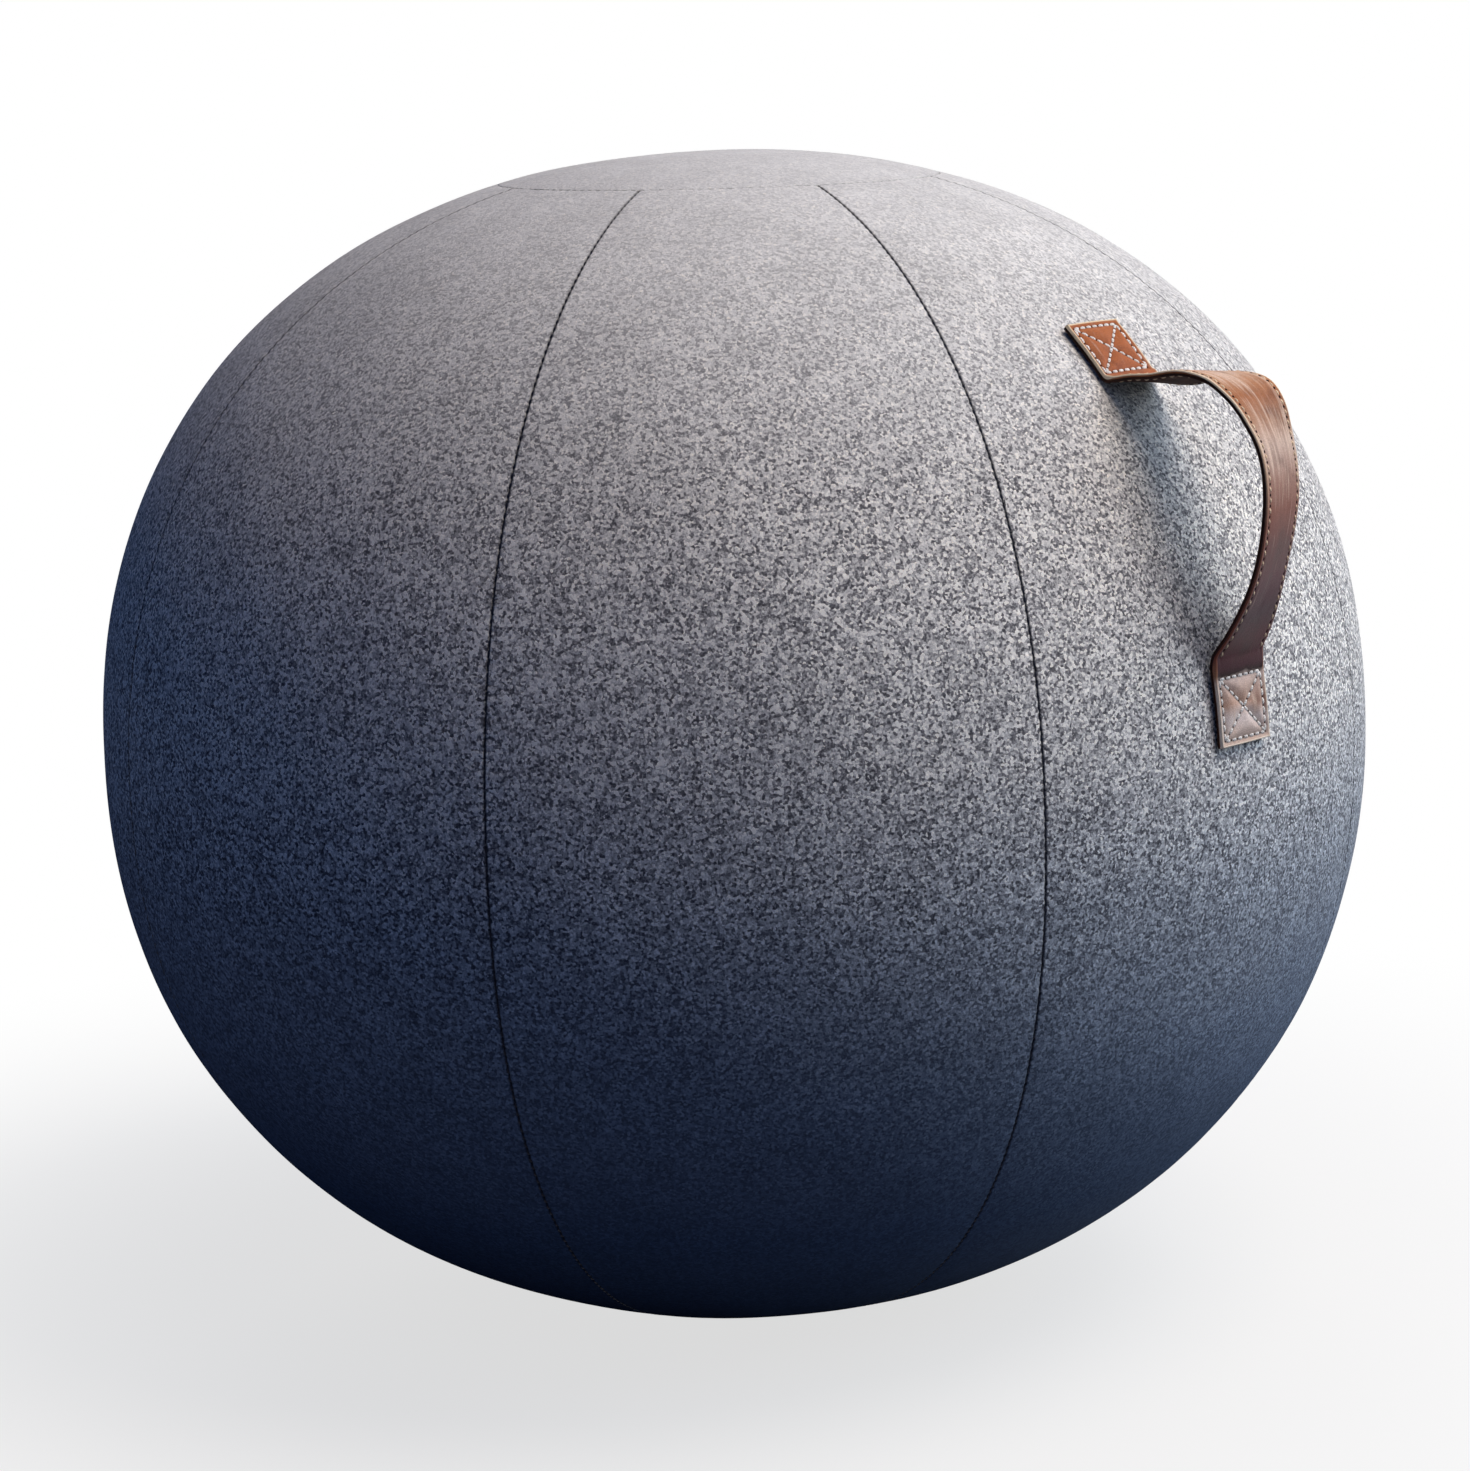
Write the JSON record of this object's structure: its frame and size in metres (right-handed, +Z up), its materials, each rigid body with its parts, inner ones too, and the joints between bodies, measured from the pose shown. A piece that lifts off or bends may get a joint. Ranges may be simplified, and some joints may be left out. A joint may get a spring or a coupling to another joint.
{
  "type": "sitting ball",
  "caption": "Round sitting ball: a gored felt cover over a blown-up ball, pressed flat at its foot, with a leather strap handle at one side and a zip arc underneath.",
  "frame": {"origin": "middle of the flat foot, on the surface that the ball rests on", "axes": "+Z up through the top panel, +X out through the gore that carries the handle, +Y along the finger gap behind the strap"},
  "size_m": [0.6732, 0.65, 0.587],
  "materials": {
    "felt": "melange wool felt, matt",
    "base_felt": "dense dark felt, matt",
    "zip_tape": "woven tape, matt",
    "zip_teeth": "moulded, satin",
    "slider_metal": "nickel, satin",
    "strap_leather": "waxed, soft sheen",
    "lining_leather": "waxed, soft sheen",
    "backing": "woven, matt",
    "ball_vinyl": "soft vinyl, satin",
    "valve_vinyl": "soft vinyl, satin",
    "plug_plastic": "moulded, gloss"
  },
  "bodies": {
    "ball": {"gore_panel_1": "felt", "gore_panel_2": "felt", "gore_panel_3": "felt", "gore_panel_4": "felt", "gore_panel_5": "felt", "gore_panel_6": "felt", "gore_panel_7": "felt", "gore_panel_8": "felt", "top_panel": "felt", "base_panel": "base_felt", "zip_tape_outer": "zip_tape", "zip_tape_inner": "zip_tape", "zip_teeth_outer": "zip_teeth", "zip_teeth_inner": "zip_teeth", "zip_stops": "zip_teeth", "handle_strap": "strap_leather", "handle_lining": "lining_leather", "handle_backing_upper": "backing", "handle_backing_lower": "backing", "inner_ball": "ball_vinyl", "valve_seat": "valve_vinyl", "valve_plug": "plug_plastic"},
    "slider": {"zip_slider": "slider_metal"},
    "pull": {"zip_pull": "slider_metal"}
  },
  "joints": [
    {"name": "zip_travel", "type": "hinge", "parent": "ball", "child": "slider", "pos_m": [0, 0, 0], "axis": [0, 0, 1], "range_deg": [0, 207.6]},
    {"name": "pull_flip", "type": "hinge", "parent": "slider", "child": "pull", "pos_m": [0.02703, 0.11, 0.0063], "axis": [-0.2293, -0.9331, -0.2769], "range_deg": [0, 180]}
  ]
}
